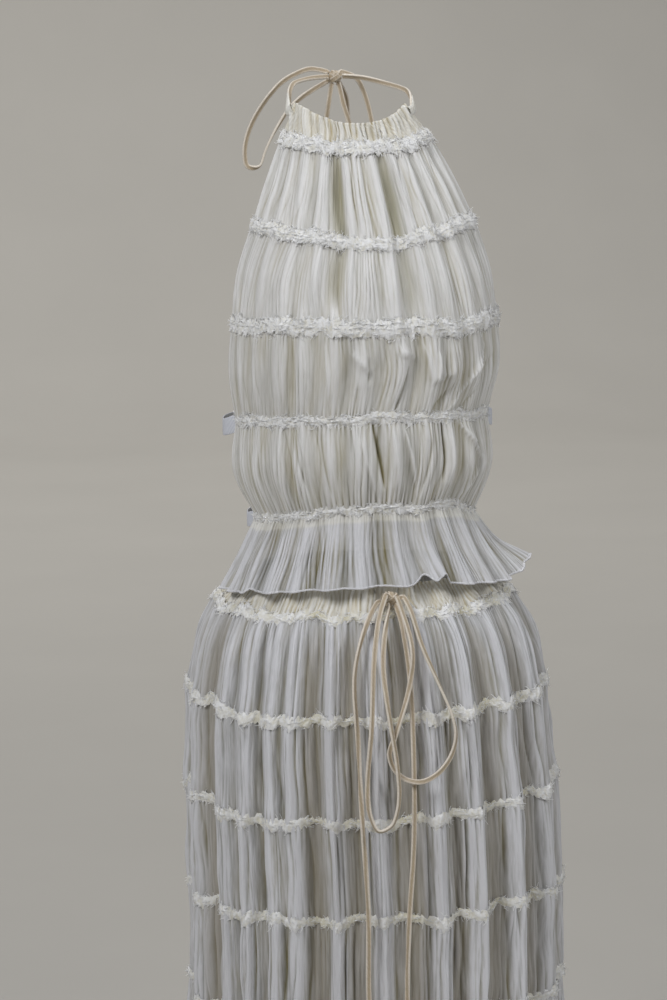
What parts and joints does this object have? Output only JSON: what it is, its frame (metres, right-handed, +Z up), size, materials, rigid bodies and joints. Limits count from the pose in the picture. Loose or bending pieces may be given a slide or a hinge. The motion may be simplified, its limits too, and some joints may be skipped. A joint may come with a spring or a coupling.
{
  "type": "two-piece halter dress",
  "caption": "Ivory two-piece halter dress: gathered top with tied neck, open back and peplum, and a long tiered skirt with frayed frills and a drawstring bow.",
  "frame": {"origin": "the middle of the neck loop, where the wearer's neck holds the top up", "axes": "+Z up, the garment faces -Y, +X to the wearer's left"},
  "size_m": [0.4154, 0.3504, 1.2264],
  "materials": {
    "lined_ivory_crinkle": "matt crinkled cloth over a lining",
    "sheer_ivory_crinkle": "sheer crinkled chiffon",
    "frayed_frill": "raw frayed edges",
    "strap_elastic": "flat woven elastic",
    "satin_cord": "soft satin tube"
  },
  "bodies": {
    "root": {"neck_casing": "lined_ivory_crinkle", "waist_casing": "lined_ivory_crinkle", "lining_edge": "lined_ivory_crinkle", "bodice_tier_1": "lined_ivory_crinkle", "bodice_tier_2": "lined_ivory_crinkle", "bodice_tier_3": "lined_ivory_crinkle", "bodice_tier_4": "lined_ivory_crinkle", "peplum": "sheer_ivory_crinkle", "skirt_tier_1": "sheer_ivory_crinkle", "skirt_tier_2": "sheer_ivory_crinkle", "skirt_tier_3": "sheer_ivory_crinkle", "skirt_tier_4": "sheer_ivory_crinkle", "skirt_tier_5": "sheer_ivory_crinkle", "bodice_frill_1": "frayed_frill", "bodice_frill_2": "frayed_frill", "bodice_frill_3": "frayed_frill", "bodice_frill_4": "frayed_frill", "bodice_frill_5": "frayed_frill", "skirt_frill_1": "frayed_frill", "skirt_frill_2": "frayed_frill", "skirt_frill_3": "frayed_frill", "skirt_frill_4": "frayed_frill", "skirt_frill_5": "frayed_frill", "back_strap_upper": "strap_elastic", "back_strap_lower": "strap_elastic", "neck_tie_right": "satin_cord", "neck_tie_left": "satin_cord", "neck_knot": "satin_cord", "neck_loop_right": "satin_cord", "neck_loop_left": "satin_cord", "neck_tail_right": "satin_cord", "neck_tail_left": "satin_cord", "drawstring_knot": "satin_cord", "drawstring_loop_right": "satin_cord", "drawstring_loop_left": "satin_cord", "drawstring_tail_right": "satin_cord", "drawstring_tail_left": "satin_cord"}
  },
  "joints": []
}
